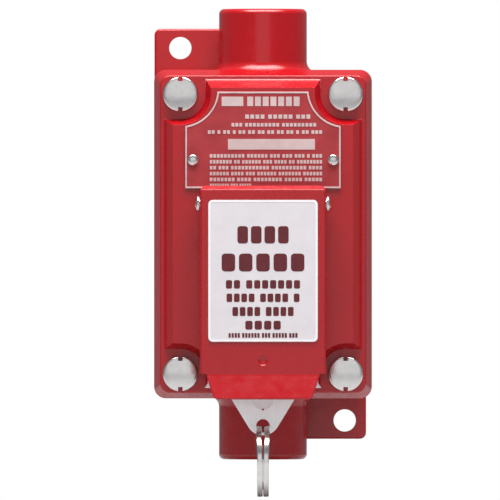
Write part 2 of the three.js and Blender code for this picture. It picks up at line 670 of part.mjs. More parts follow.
function plungerParts() {
  const headBack = PAD_FRONT - GAP;
  const plunger = turned([
    [0, PLUNGER_TIP],
    [2.4, PLUNGER_TIP + 0.3],
    [4.2, PLUNGER_TIP + 1],
    [4.6, PLUNGER_TIP + 1.6],
    [4.6, headBack],
    [STEM_RADIUS, headBack],
    [STEM_RADIUS, -61.9],
    [2.4, -61.9],
    [2.4, -60.5],
    [STEM_RADIUS, -60.5],
    [STEM_RADIUS, PLUNGER_END - 0.6],
    [STEM_RADIUS - 0.6, PLUNGER_END],
    [0, PLUNGER_END],
  ], 20);
  const bushing = cut(
    rodY(BUSHING_RADIUS, PAD_FRONT + GAP, BUSHING_BACK),
    rodY(COUNTERBORE_RADIUS, PAD_FRONT - 1, COUNTERBORE_FLOOR),
    rodY(STEM_RADIUS + 0.2, PAD_FRONT, BUSHING_BACK + 1, 0, 0, 20),
  );
  const wire = new THREE.Shape().absarc(0, 0, 0.4, 0, 2 * Math.PI, false);
  const springPath = new HelixPath(SPRING_RADIUS, headBack + 0.7, COUNTERBORE_FLOOR - 0.7, 4.5);
  const options = { steps: 45, curveSegments: 2, bevelEnabled: false, extrudePath: springPath };
  const clipShape = new THREE.Shape();
  clipShape.absarc(0, 0, 5.2, Math.PI / 5, Math.PI * 1.8, false);
  clipShape.absarc(0, 0, 2.7, Math.PI * 1.8, Math.PI / 5, true);
  const clipFront = BUSHING_BACK + GAP;
  const group = at(new THREE.Group(), 0, 0, PLUNGER_Z);
  group.add(piece('plunger', plunger, polishedSteel));
  group.add(piece('plunger_bushing', bushing, bronze));
  group.add(piece('plunger_spring', solid(new THREE.ExtrudeGeometry(wire, options)), springSteel));
  group.add(piece('retaining_clip', slab(clipShape, clipFront, clipFront + 0.8, 10), springSteel));
  return group;
}

// ---- Switch and its bracket, centred on the plunger ----
function switchParts() {
  const bottom = -SWITCH_HALF_Z - GAP;
  const plateBack = BRACKET_FRONT + BRACKET_SHEET;
  const screwZ = BRACKET_SCREW_Z - PLUNGER_Z;
  const bracket = cut(
    sideSlab([
      [BRACKET_FRONT, screwZ + 5],
      [BRACKET_FRONT, bottom - BRACKET_SHEET],
      [SWITCH_BACK - 1, bottom - BRACKET_SHEET],
      [SWITCH_BACK - 1, bottom],
      [plateBack, bottom],
      [plateBack, screwZ + 5],
    ], -BRACKET_HALF_X, BRACKET_HALF_X),
    rodY(BOSS_RADIUS + 0.4, BRACKET_FRONT - 1, plateBack + 1),
    ...[1, -1].flatMap((side) => [
      rodY(2.3, BRACKET_FRONT - 1, plateBack + 1, side * BRACKET_SCREW_X, screwZ, SMALL_ROUND),
      rodZ(1.9, bottom - 3, bottom + 1, side * SWITCH_SCREW_X, SWITCH_SCREW_Y, SMALL_ROUND),
    ]),
  );
  const caseShape = roundRect(SWITCH_HALF_X, SWITCH_HALF_Z, 1.5);
  const switchCase = cut(
    slab(caseShape, SWITCH_FRONT, SWITCH_BACK, 2),
    rodY(2.9, SWITCH_FRONT - 1, -45.5, 0, 0, 18),
    ...[1, -1].map((side) => rodZ(1.9, -12, 12, side * SWITCH_SCREW_X, SWITCH_SCREW_Y, SMALL_ROUND)),
    ...[-1, 0, 1].map((place) => rodY(1.4, -36.6, SWITCH_BACK + 1, place * TERMINAL_PITCH, 0, SMALL_ROUND)),
  );
  const buttonTip = PLUNGER_END + GAP;
  const button = turned([
    [0, buttonTip],
    [1.8, buttonTip + 0.25],
    [2.5, buttonTip + 1],
    [2.5, -49.5],
    [0, -49.5],
  ], 18);
  const group = at(new THREE.Group(), 0, 0, PLUNGER_Z);
  group.add(piece('switch_bracket', bracket, springSteel));
  group.add(piece('switch_body', switchCase, blackPlastic));
  group.add(piece('switch_button', button, buttonRed));

  const bracketScrew = slotted(screw(3.6, 2.3, 1.9, 8.5), 3.6, 2.3, 0.9);
  const switchScrew = slotted(screw(3, 2, 1.6, 24.6), 3, 2, 0.8);
  [1, -1].forEach((side) => {
    const name = side > 0 ? 'right' : 'left';
    const holder = piece(`bracket_screw_${name}`, bracketScrew, polishedSteel);
    holder.rotation.x = Math.PI;
    group.add(at(holder, side * BRACKET_SCREW_X, plateBack + GAP, screwZ));
    const fixing = piece(`switch_screw_${name}`, switchScrew, polishedSteel);
    fixing.rotation.x = -Math.PI / 2;
    group.add(at(fixing, side * SWITCH_SCREW_X, SWITCH_SCREW_Y, SWITCH_HALF_Z + GAP));
  });

  const clampFront = SWITCH_BACK + GAP;
  const clamp = cut(
    slab(roundRect(4.4, 5.2, 0.8), clampFront, clampFront + 1, 2),
    rodY(1.4, clampFront - 1, clampFront + 2, 0, 0, SMALL_ROUND),
  );
  const clampScrew = slotted(screw(3, 1.9, 1.1, 4.4), 3, 1.9, 0.8);
  ['common', 'open', 'closed'].forEach((name, i) => {
    const x = (i - 1) * TERMINAL_PITCH;
    group.add(at(piece(`terminal_${name}`, clamp, brass), x, 0, 0));
    const mesh = piece(`terminal_screw_${name}`, clampScrew, brass);
    mesh.rotation.x = Math.PI;
    group.add(at(mesh, x, clampFront + 1 + GAP, 0));
  });
  return group;
}

function groundScrew() {
  const head = rodY(4.6, -3.2, 0, 0, 0, 6);
  const body = slotted(join(head, rodY(2.2, -0.5, 4, 0, 0, SMALL_ROUND)), 4.6, 3.2, 1.1);
  return at(piece('ground_screw', body, brass), GROUND_X, BOX_FLOOR - GAP, GROUND_Z);
}

// ---- Assembly ----
const callPoint = new THREE.Group();
callPoint.add(backBox(), frontCover(), ...coverBolts(), ...nameplateParts());
callPoint.add(door(), ...hingeScrews());
callPoint.add(pullPlate(), ...camParts(), splitRing(), ...guideScrews());
callPoint.add(plungerParts(), switchParts(), groundScrew());

export default callPoint;
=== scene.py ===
import json
import math

import bmesh
import bpy
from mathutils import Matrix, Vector


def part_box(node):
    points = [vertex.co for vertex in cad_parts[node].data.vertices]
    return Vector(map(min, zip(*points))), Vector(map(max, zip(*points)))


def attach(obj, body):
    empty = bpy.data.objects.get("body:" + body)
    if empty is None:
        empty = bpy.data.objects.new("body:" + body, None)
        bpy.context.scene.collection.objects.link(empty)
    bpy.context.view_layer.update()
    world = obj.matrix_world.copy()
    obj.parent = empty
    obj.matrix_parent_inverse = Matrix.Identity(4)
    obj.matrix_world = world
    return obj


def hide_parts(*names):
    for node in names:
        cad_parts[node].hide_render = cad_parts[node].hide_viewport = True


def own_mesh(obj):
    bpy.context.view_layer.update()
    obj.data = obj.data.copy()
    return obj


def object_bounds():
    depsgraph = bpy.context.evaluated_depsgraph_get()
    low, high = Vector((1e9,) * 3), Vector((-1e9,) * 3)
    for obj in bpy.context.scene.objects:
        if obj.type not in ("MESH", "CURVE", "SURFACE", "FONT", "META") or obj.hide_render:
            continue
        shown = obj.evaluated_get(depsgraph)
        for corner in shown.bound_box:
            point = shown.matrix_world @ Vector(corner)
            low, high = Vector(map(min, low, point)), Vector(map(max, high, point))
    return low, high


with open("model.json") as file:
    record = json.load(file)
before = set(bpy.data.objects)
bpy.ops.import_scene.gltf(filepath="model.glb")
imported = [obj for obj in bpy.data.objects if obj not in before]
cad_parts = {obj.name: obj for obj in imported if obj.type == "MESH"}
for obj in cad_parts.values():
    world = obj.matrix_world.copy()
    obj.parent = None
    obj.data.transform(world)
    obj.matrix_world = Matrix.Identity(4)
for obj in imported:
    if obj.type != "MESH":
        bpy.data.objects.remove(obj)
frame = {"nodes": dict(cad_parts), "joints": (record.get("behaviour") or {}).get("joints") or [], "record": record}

CAD_BOX = [list(map(float, corner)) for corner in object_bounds()]
MM = 0.001


# ---- Places, in millimetres, from the frame ----
def place(node):
    """The lowest and highest corner of a CAD node in millimetres."""
    low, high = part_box(node)
    return Vector(low) / MM, Vector(high) / MM


def middle(node):
    low, high = place(node)
    return (low + high) / 2


def joint(name):
    return next(j for j in frame["joints"] if j["name"] == name)


def opening(name):
    """The middle of an opening that the record states, in millimetres."""
    box = next(o for o in frame["record"]["physics"]["openings"] if o["name"] == name)["box_m"]
    return (Vector(box[0]) + Vector(box[1])) / 2 / MM


BOX_LOW, BOX_HIGH = place("back_box")
COVER_HIGH = place("front_cover")[1]
PLATE_LOW, PLATE_HIGH = place("nameplate")
DOOR_LOW, DOOR_HIGH = place("lift_door")
LABEL_LOW, LABEL_HIGH = place("door_label")
PULL_LOW, PULL_HIGH = place("pull_plate")
RING_LOW, RING_HIGH = place("split_ring")
HINGE = Vector(joint("door_hinge")["pos_m"]) / MM
RING_PIVOT = Vector(joint("ring_swing")["pos_m"]) / MM

HALF_X = COVER_HIGH.x
HALF_Z = COVER_HIGH.z
BOX_FRONT = BOX_LOW.y
COVER_BACK = COVER_HIGH.y
FLANGE_FRONT = -70.3
PAD_FRONT = PLATE_HIGH.y + 0.3
BOX_FLOOR = -8.0
BOLTS = [f"cover_bolt_{row}_{side}" for row in ("top", "bottom") for side in ("left", "right")]
BOLT_X, _, BOLT_Z = middle("cover_bolt_top_right")
BOLT_SEAT = FLANGE_FRONT - 0.3
GUIDE_X, _, GUIDE_Z = middle("guide_screw_right")
RIVET_X, _, RIVET_Z = middle("cam_rivet_right")
BRACKET_X, _, BRACKET_Z = middle("bracket_screw_right")
DRIVE_X, _, DRIVE_Z = middle("nameplate_screw_right")
GROUND_X, _, GROUND_Z = middle("ground_screw")
PLUNGER_Z = middle("plunger_bushing").z
HUB_Y = opening("upper_hub_bore").y
HUB_R = 22.35
LUG_FRONT = -9.0
LUG_HOLE = 5.7
DOOR_BOTTOM = -70.9
DOOR_FRONT = LABEL_HIGH.y + 0.3
DIMPLE_Z = -64.2
SEAL_HOLE_Z = -89.1
TRAVEL = joint("pull_slide")["range_m"][1] / MM


# ---- Meshes ----
def build(name, rings, loop=False, caps=True):
    """A skin over matching rings of points in millimetres. loop joins the last ring to the first."""
    mesh = bmesh.new()
    rows = [[mesh.verts.new(Vector(p) * MM) for p in ring] for ring in rings]
    pairs = list(zip(rows, rows[1:]))
    if loop:
        pairs.append((rows[-1], rows[0]))
    for first, second in pairs:
        for i in range(len(first)):
            j = (i + 1) % len(first)
            mesh.faces.new((first[i], first[j], second[j], second[i]))
    if caps and not loop:
        mesh.faces.new(list(reversed(rows[0])))
        mesh.faces.new(rows[-1])
    bmesh.ops.remove_doubles(mesh, verts=mesh.verts, dist=1e-6)
    bmesh.ops.recalc_face_normals(mesh, faces=mesh.faces)
    data = bpy.data.meshes.new(name)
    mesh.to_mesh(data)
    mesh.free()
    piece = bpy.data.objects.new(name, data)
    bpy.context.scene.collection.objects.link(piece)
    return piece


def arc(x, z, radius, start, end, steps):
    """Points on an arc, angles in degrees."""
    turns = [math.radians(start + (end - start) * i / steps) for i in range(steps + 1)]
    return [(x + radius * math.cos(a), z + radius * math.sin(a)) for a in turns]


def rounded_rect(half_x, half_z, corner, x=0.0, z=0.0, steps=8):
    points = []
    for turn, (side_x, side_z) in enumerate(((1, 1), (-1, 1), (-1, -1), (1, -1))):
        centre = (x + side_x * (half_x - corner), z + side_z * (half_z - corner))
        points += arc(*centre, corner, turn * 90, turn * 90 + 90, steps)
    return points


def notched_rect(half_x, half_z, scoop, steps=16):
    """A rectangle whose corners are scooped out round the cover bolts."""
    points = []
    for turn, (side_x, side_z) in enumerate(((1, 1), (-1, 1), (-1, -1), (1, -1))):
        beside = (side_x * half_x, side_z * (BOLT_Z - scoop))
        over = (side_x * (BOLT_X - scoop), side_z * half_z)
        first, last = (beside, over) if side_x == side_z else (over, beside)
        end = (turn + 2) * 90
        points += [first, *arc(side_x * BOLT_X, side_z * BOLT_Z, scoop, end + 90, end, steps), last]
    return points


def stack(name, sections):
    """A solid over outlines in X and Z, each given with its y."""
    return build(name, [[(x, y, z) for x, z in outline] for outline, y in sections])


def rounding(back, front, inset_back, inset_front, round_back, round_front, steps=5):
    """(inset, y) pairs of a drafted wall whose two edges are rounded."""
    pairs = []
    for i in range(steps + 1):
        a = math.radians(90 * i / steps)
        pairs.append((inset_back + round_back * (1 - math.sin(a)), back - round_back * (1 - math.cos(a))))
    for i in range(steps + 1):
        a = math.radians(90 * i / steps)
        pairs.append((inset_front + round_front * (1 - math.cos(a)), front + round_front * (1 - math.sin(a))))
    return pairs


def slab(name, outline, front, back):
    return stack(name, [(outline, back), (outline, front)])


def rolled_slab(name, offset, front, back, edge):
    """A flat piece with rolled edges: offset(inset) gives its outline moved in by that much."""
    return stack(name, [(offset(inset), y) for inset, y in rounding(back, front, 0, 0, edge, edge, 3)])


def spin(name, profile, centre, axis, segments=64):
    """A profile of (radius, height) turned about a line through centre along axis."""
    axis = Vector(axis)
    side = axis.orthogonal().normalized()
    other = axis.cross(side)
    rings = []
    for radius, height in profile:
        radius = max(radius, 1e-4)
        turns = [2 * math.pi * i / segments for i in range(segments)]
        rings.append([
            Vector(centre) + axis * height + (side * math.cos(a) + other * math.sin(a)) * radius for a in turns
        ])
    return build(name, rings)


def rod(radius, centre, axis, length, segments=48):
    return spin("tool", [(radius, 0), (radius, length)], centre, axis, segments)


def merge(piece, tools, operation):
    """Joins tools to the piece or cuts them from it, and removes them."""
    for tool in tools:
        change = piece.modifiers.new("merge", "BOOLEAN")
        change.operation = operation
        change.solver = "EXACT"
        change.object = tool
        result = bpy.data.meshes.new_from_object(piece.evaluated_get(bpy.context.evaluated_depsgraph_get()))
        piece.modifiers.clear()
        piece.data = result
        bpy.data.objects.remove(tool)
    return piece


def join(piece, *tools):
    return merge(piece, tools, "UNION")


def cut(piece, *tools):
    return merge(piece, tools, "DIFFERENCE")


def common(piece, *tools):
    return merge(piece, tools, "INTERSECT")


def together(pieces):
    """One object made of several loose shells."""
    target = pieces[0]
    mesh = bmesh.new()
    for piece in pieces:
        mesh.from_mesh(piece.data)
    mesh.to_mesh(target.data)
    mesh.free()
    for piece in pieces[1:]:
        bpy.data.objects.remove(piece)
    return target


def settle(piece, name, body, material, nodes=(), bevel=0.0, angle=32):
    """Shades, names and dresses a piece, and ties it to its body and the nodes that it stands for."""
    piece.name = name
    piece.data.name = name
    piece.data.materials.clear()
    piece.data.materials.append(material)
    for face in piece.data.polygons:
        face.use_smooth = True
        face.material_index = 0
    if bevel:
        edge = piece.modifiers.new("edge", "BEVEL")
        edge.width = bevel * MM
        edge.segments = 2
        edge.limit_method = "ANGLE"
        edge.angle_limit = math.radians(angle)
        edge.miter_outer = "MITER_ARC"
    piece.data.set_sharp_from_angle(angle=math.radians(angle))
    weights = piece.modifiers.new("flat faces", "WEIGHTED_NORMAL")
    weights.keep_sharp = True
    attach(piece, body)
    if nodes:
        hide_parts(*nodes)
    return piece


# ---- Materials ----
class Nodes:
    """A node tree being filled, with short calls for the nodes that the materials share."""

    def __init__(self, name):
        self.material = bpy.data.materials.new(name)
        self.material.use_nodes = True
        self.tree = self.material.node_tree
        self.shader = self.tree.nodes["Principled BSDF"]
        coordinates = self.tree.nodes.new("ShaderNodeTexCoord")
        self.place = coordinates.outputs["Object"]

    def node(self, kind, **inputs):
        made = self.tree.nodes.new(kind)
        for key, value in inputs.items():
            made.inputs[key.replace("_", " ")].default_value = value
        return made

    def link(self, source, target):
        self.tree.links.new(source, target)

    def noise(self, size, detail=3.0, stretch=(1, 1, 1)):
        """Noise whose features are about size millimetres across."""
        mapping = self.node("ShaderNodeMapping", Scale=stretch)
        self.link(self.place, mapping.inputs["Vector"])
        noise = self.node("ShaderNodeTexNoise", Scale=1 / (size * MM), Detail=detail, Roughness=0.55)
        self.link(mapping.outputs["Vector"], noise.inputs["Vector"])
        return noise.outputs["Fac"]

    def colour(self, value, low, high):
        ramp = self.tree.nodes.new("ShaderNodeValToRGB")
        ramp.color_ramp.elements[0].position = 0.3
        ramp.color_ramp.elements[1].position = 0.7
        ramp.color_ramp.elements[0].color = (*low, 1)
        ramp.color_ramp.elements[1].color = (*high, 1)
        self.link(value, ramp.inputs["Fac"])
        self.link(ramp.outputs["Color"], self.shader.inputs["Base Color"])

    def roughness(self, value, low, high):
        spread = self.tree.nodes.new("ShaderNodeMapRange")
        spread.inputs["From Min"].default_value = 0.3
        spread.inputs["From Max"].default_value = 0.7
        spread.inputs["To Min"].default_value = low
        spread.inputs["To Max"].default_value = high
        self.link(value, spread.inputs["Value"])
        self.link(spread.outputs["Result"], self.shader.inputs["Roughness"])

    def bump(self, *layers):
        """Relief from (height value, depth in millimetres) layers."""
        normal = None
        for value, depth in layers:
            bump = self.node("ShaderNodeBump", Strength=1.0, Distance=depth * MM)
            self.link(value, bump.inputs["Height"])
            if normal:
                self.link(normal, bump.inputs["Normal"])
            normal = bump.outputs["Normal"]
        self.link(normal, self.shader.inputs["Normal"])

    def set(self, **inputs):
        for key, value in inputs.items():
            self.shader.inputs[key.replace("_", " ")].default_value = value
        return self.material


def enamel(name, low, high, cast=0.012):
    """Glossy enamel over a casting: orange peel, broad waviness and a slow change of tone."""
    nodes = Nodes(name)
    nodes.colour(nodes.noise(22, 4), low, high)
    nodes.roughness(nodes.noise(6, 3), 0.2, 0.32)
    nodes.bump((nodes.noise(7, 2), cast), (nodes.noise(0.9, 2), 0.004))
    return nodes.set(Coat_Weight=0.15, Coat_Roughness=0.1, IOR=1.48)


def steel(name, low, high, rough, stretch=(1, 1, 1), grain=0.35, depth=0.004, metallic=1.0):
    """Bare steel: fine grain, stretched where it is brushed, and smudges in the gloss."""
    nodes = Nodes(name)
    nodes.colour(nodes.noise(5, 4, stretch), low, high)
    nodes.roughness(nodes.noise(3, 3), rough * 0.75, rough * 1.25)
    nodes.bump((nodes.noise(grain, 3, stretch), depth))
    return nodes.set(Metallic=metallic)


def moulded(name, low, high, rough, grain=0.5, depth=0.01):
    """Moulded or printed matter with a fine surface."""
    nodes = Nodes(name)
    nodes.colour(nodes.noise(9, 4), low, high)
    nodes.roughness(nodes.noise(2.5, 3), rough * 0.85, rough * 1.15)
    nodes.bump((nodes.noise(grain, 2), depth))
    return nodes.set(IOR=1.48)


RED = enamel("red enamel", (0.375, 0.003, 0.007), (0.405, 0.004, 0.009))
PLATE_RED = moulded("nameplate red", (0.33, 0.022, 0.028), (0.41, 0.034, 0.04), 0.5, 0.3, 0.012)
PALE = moulded("raised pale lines", (0.56, 0.42, 0.41), (0.66, 0.52, 0.51), 0.4)
LABEL = moulded("label film", (0.71, 0.67, 0.69), (0.76, 0.72, 0.74), 0.42, 1.2, 0.004)
BORDER = moulded("label border", (0.93, 0.87, 0.88), (0.97, 0.92, 0.93), 0.4)
PRINT = moulded("maroon print", (0.10, 0.008, 0.012), (0.13, 0.012, 0.017), 0.5)
POLISHED = steel("polished steel", (0.66, 0.64, 0.63), (0.74, 0.72, 0.71), 0.2)
BRUSHED = steel("satin stainless sheet", (0.90, 0.89, 0.895), (0.97, 0.96, 0.965), 0.42, stretch=(9, 9, 0.5),
                metallic=0.3)
DULL = steel("spring steel", (0.36, 0.36, 0.37), (0.48, 0.48, 0.49), 0.35)
BRONZE = steel("turned bronze", (0.42, 0.21, 0.07), (0.52, 0.28, 0.10), 0.35)
BRASS = steel("bright brass", (0.58, 0.37, 0.11), (0.68, 0.46, 0.16), 0.28)
BLACK = moulded("black phenolic", (0.012, 0.012, 0.014), (0.022, 0.022, 0.025), 0.45)
BUTTON = moulded("red button", (0.33, 0.012, 0.014), (0.40, 0.018, 0.02), 0.35)


# ---- Back box ----
def hub(side):
    """A conduit hub that flares into the box's end wall."""
    flare = 5.3
    wall = HALF_Z - 0.8
    end = BOX_HIGH.z
    edge = 2.6
    profile = [
        (HUB_R + flare, 45),
        *[(r, h) for r, h in arc(HUB_R + flare, wall + flare, flare, 270, 180, 10)],
        *[(r, h) for r, h in arc(HUB_R - edge, end - edge, edge, 0, 90, 8)],
        (1, end),
    ]
    return spin("hub", profile, (0, HUB_Y, 0), (0, 0, side), 96)


def hub_bore(side):
    """The threaded bore: ring grooves near the mouth, smooth farther in."""
    radius = 12.4
    end = BOX_HIGH.z
    pitch = 1.8
    profile = [(radius, 60), (radius, end - 19)]
    for i in range(9):
        low = end - 18.5 + i * pitch
        profile += [(radius, low), (radius + 0.9, low + pitch / 2)]
    profile += [(radius + 0.3, end - 1.2), (radius + 1.7, end + 0.4), (radius + 1.7, end + 3)]
    return spin("bore", profile, (0, HUB_Y, 0), (0, 0, side), 72)


def lug(half_x, x, z):
    """A mounting lug at the wall plane, with rounded edges."""
    sections = rounding(0, LUG_FRONT, 0, 0, 0.6, 1.2, 4)
    return stack("lug", [(rounded_rect(half_x - i, 14 - i, 3.2, x, z), y) for i, y in sections])


def back_box():
    sections = rounding(0, BOX_FRONT, 2.9, 0, 2.5, 0.5)
    box = stack("box", [(rounded_rect(HALF_X - i, HALF_Z - i, 8 if y > -3 else 6.2), y) for i, y in sections])
    join(box, hub(1), hub(-1), lug(21, -34.4, 90.9), lug(20, 32.7, -90.6))
    corner = [(2, BOX_FLOOR), (0.6, BOX_FLOOR - 0.6), (0, BOX_FLOOR - 2)]
    floor = [(notched_rect(43 - i, 71.9 - i * 0.01, 13 + i), y) for i, y in corner]
    cavity = stack("cavity", [*floor, (notched_rect(44.5, 73, 12), BOX_FRONT - 1)])
    holes = [rod(5.05, (side_x * BOLT_X, BOX_FRONT - 1, side_z * BOLT_Z), (0, 1, 0), 26, 32)
             for side_x in (1, -1) for side_z in (1, -1)]
    places = [opening(f"{name}_lug_hole") for name in ("upper", "lower")]
    lug_holes = [rod(LUG_HOLE, (p.x, LUG_FRONT - 2, p.z), (0, 1, 0), 13, 64) for p in places]
    ground = rod(2.5, (GROUND_X, BOX_FLOOR - 1, GROUND_Z), (0, 1, 0), 5.5, 24)
    cut(box, cavity, hub_bore(1), hub_bore(-1), *holes, *lug_holes, ground)
    settle(box, "box_casting", "housing", RED, ["back_box"], bevel=0.35)


# ---- Front cover ----
def side_bar(name, profile, low, high, edge=0.6):
    """A profile in Y and Z carried along X, with its two end edges rounded toward its middle."""
    middle_y = sum(y for y, z in profile) / len(profile)
    middle_z = sum(z for y, z in profile) / len(profile)
    rings = []
    for x, inset in ((low, edge), (low + edge * 0.3, edge * 0.3), (low + edge, 0),
                     (high - edge, 0), (high - edge * 0.3, edge * 0.3), (high, edge)):
        ring = []
        for y, z in profile:
            reach = math.dist((y, z), (middle_y, middle_z))
            keep = 1 - inset / max(reach, 2.0)
            ring.append((x, middle_y + (y - middle_y) * keep, middle_z + (z - middle_z) * keep))
        rings.append(ring)
    return build(name, rings)


def hinge_ear(side):
    y, z = HINGE.y, HINGE.z
    profile = [
        (PAD_FRONT + 1, -12),
        (PAD_FRONT + 1, 0),
        (y + 4, 4.5),
        *arc(y, z, 5, -36, 216, 28),
        (y - 4, 0),
        (y + 1, -8),
    ]
    low = 22 if side > 0 else -28.7
    ear = side_bar("ear", profile, low, low + 6.7, 0.5)
    return cut(ear, rod(2.7, (low - 1, y, z), (1, 0, 0), 9, 32))


def front_cover():
    sections = rounding(COVER_BACK, FLANGE_FRONT, 0, 2.9, 0.3, 0.8)
    cover = stack("cover", [(rounded_rect(HALF_X - i, HALF_Z - i, 6 - i * 0.3), y) for i, y in sections])
    rise = FLANGE_FRONT - PAD_FRONT
    chamfer = 3.5
    pad_sections = [(-0.9, FLANGE_FRONT + 1), (-0.9, FLANGE_FRONT - 0.05), (-0.35, FLANGE_FRONT - 0.35),
                    (0, FLANGE_FRONT - 0.95)]
    pad_sections += [(chamfer - 0.25, PAD_FRONT + rise * 0.07), (chamfer + 0.05, PAD_FRONT + 0.12),
                     (chamfer + 0.4, PAD_FRONT)]
    pad = stack("pad", [(notched_rect(49.6 - i, 77.9 - i, 13.3 + i * 0.63), y) for i, y in pad_sections])
    recess = stack("recess", [
        (notched_rect(44.5, 73, 11.8), COVER_BACK + 1),
        (notched_rect(43.4, 72, 12.3), -68.3),
        (notched_rect(42.2, 71.9, 13.5), -69.5),
    ])
    boss = rod(10, (0, -70.5, PLUNGER_Z), (0, 1, 0), 8.2)
    bracket_bosses = [rod(4.5, (side * BRACKET_X, -70.5, BRACKET_Z), (0, 1, 0), 4.5, 32) for side in (1, -1)]
    guides = [rod(6, (side * GUIDE_X, PULL_HIGH.y + 0.3, GUIDE_Z), (0, 1, 0), 5) for side in (1, -1)]
    cut(join(cover, pad), recess)
    join(cover, boss, *bracket_bosses, *guides, hinge_ear(1), hinge_ear(-1))
    holes = [rod(7.3, (0, PAD_FRONT - 1, PLUNGER_Z), (0, 1, 0), 22)]
    for side in (1, -1):
        holes += [
            rod(2.2, (side * BRACKET_X, -73, BRACKET_Z), (0, 1, 0), 9, 24),
            rod(2.4, (side * GUIDE_X, PULL_HIGH.y - 1, GUIDE_Z), (0, 1, 0), 10, 24),
            rod(1.6, (side * DRIVE_X, PAD_FRONT - 1, DRIVE_Z), (0, 1, 0), 6, 24),
        ]
        bolts = [(side * BOLT_X, FLANGE_FRONT - 1, end * BOLT_Z) for end in (1, -1)]
        holes += [rod(5.35, start, (0, 1, 0), 15, 32) for start in bolts]
    cut(cover, *holes)
    settle(cover, "cover_casting", "housing", RED, ["front_cover"], bevel=0.3)


# ---- Screws and bolts ----
def cover_bolts():
    """Heads with a low crown, a rolled rim and two notches in it."""
    radius, height = 8.85, 4.6
    crown = [(radius * 0.92 * i / 8, 0.6 * (i / 8) ** 2 - height) for i in range(9)]
    rim = arc(radius - 0.75, 1.4 - height, 0.75, -75, 0, 5)
    profile = [*crown, *rim, (radius, -0.3), (radius - 0.3, 0), (4.75, 0), (4.75, 34), (3.9, 35), (0, 35)]
    for node in BOLTS:
        centre = (middle(node).x, BOLT_SEAT, middle(node).z)
        bolt = spin(node, profile, centre, (0, 1, 0), 96)
        for end in (1, -1):
            corners = ((1.15, 2.2), (-1.15, 2.2), (-1.15, -2.2), (1.15, -2.2))
            outline = [(centre[0] + a, centre[2] + end * radius + b) for a, b in corners]
            cut(bolt, slab("notch", outline, BOLT_SEAT - 9, BOLT_SEAT + 0.01))
        settle(bolt, node + "_head", "housing", POLISHED, [node], bevel=0.18, angle=35)


def small_screw(node, body, axis, head, height, shank, slot_width=0.0, flat=False):
    """A screw that fills its node's box, with its head on the side that axis points to."""
    low, high = place(node)
    axis = Vector(axis)
    reach = abs((high - low).dot(axis)) / 2
    seat = middle(node) + axis * (reach - height)
    if flat:
        crown = [(0, height), (head - 0.5, height), (head, height - 0.5)]
    else:
        crown = [(head * math.sin(math.radians(a)), height * (0.4 + 0.6 * math.cos(math.radians(a))))
                 for a in range(0, 91, 9)]
    length = 2 * reach - height
    stem = [(shank, 0), (shank, 0.5 - length), (shank - 0.5, -length), (0, -length)]
    profile = [*crown, (head, 0.25), (head - 0.25, 0), *stem]
    screw = spin(node, profile, seat, axis, 48)
    if slot_width:
        side = axis.orthogonal().normalized()
        across = axis.cross(side)
        corners = ((0.55, 0.5), (1.4, 0.5), (1.4, -0.5), (0.55, -0.5))
        ring = [seat + axis * height * h + across * slot_width * w for h, w in corners]
        half = side * head * 1.2
        cut(screw, build("slot", [[p - half for p in ring], [p + half for p in ring]]))
    settle(screw, node + "_turned", body, POLISHED, [node], bevel=0.12, angle=40)


def screws():
    for side, name in ((1, "right"), (-1, "left")):
        small_screw(f"hinge_screw_{name}", "housing", (side, 0, 0), 4.05, 2.1, 2.35, slot_width=0.9)
        small_screw(f"nameplate_screw_{name}", "housing", (0, -1, 0), 2.7, 1.3, 1.25)
        small_screw(f"cam_rivet_{name}", "pull", (0, -1, 0), 2.4, 0.9, 1.2)
        small_screw(f"guide_screw_{name}", "housing", (0, -1, 0), 5, 2.4, 2.1, slot_width=1.2, flat=True)


# ---- Nameplate ----
def nameplate_outline(inset):
    half_x, top, bottom = PLATE_HIGH.x - inset, PLATE_HIGH.z - inset, PLATE_LOW.z + inset
    scoop, scoop_x, scoop_z = 18.8 + inset, 42, 73.6
    low_angle = math.degrees(math.acos((scoop_x - half_x) / scoop))
    high_angle = math.degrees(math.asin((scoop_z - top) / scoop))
    return [
        (-half_x, bottom),
        (half_x, bottom),
        *arc(scoop_x, scoop_z, scoop, 180 + low_angle, 180 + high_angle, 18),
        *arc(-scoop_x, scoop_z, scoop, -high_angle, -low_angle, 18),
    ]


def bars(name, rows, front, thickness, body, material, round_end=0.5):
    """Thin bars in rows of (left, right, bottom, top), as one object: they stand for lines of print."""
    made = []
    for left, right, bottom, top in rows:
        half_x, half_z = (right - left) / 2, (top - bottom) / 2
        if round_end:
            corner = min(half_x, half_z) * round_end
            outline = rounded_rect(half_x, half_z, corner, (left + right) / 2, (bottom + top) / 2, 3)
        else:
            outline = [(right, top), (left, top), (left, bottom), (right, bottom)]
        made.append(slab(name, outline, front, front + thickness))
    return settle(together(made), name, body, material)


def letters(left, right, bottom, top, word_lengths, gap=0.3, space=1.0):
    """Upright blocks the size of letters, in words. gap and space are in parts of a block's width."""
    count = sum(word_lengths)
    parts = count + gap * (count - len(word_lengths)) + space * (len(word_lengths) - 1)
    wide = (right - left) / parts
    row = []
    start = left
    for length in word_lengths:
        for _ in range(length):
            row.append((start, start + wide, bottom, top))
            start += wide * (1 + gap)
        start += wide * (space - gap)
    return row


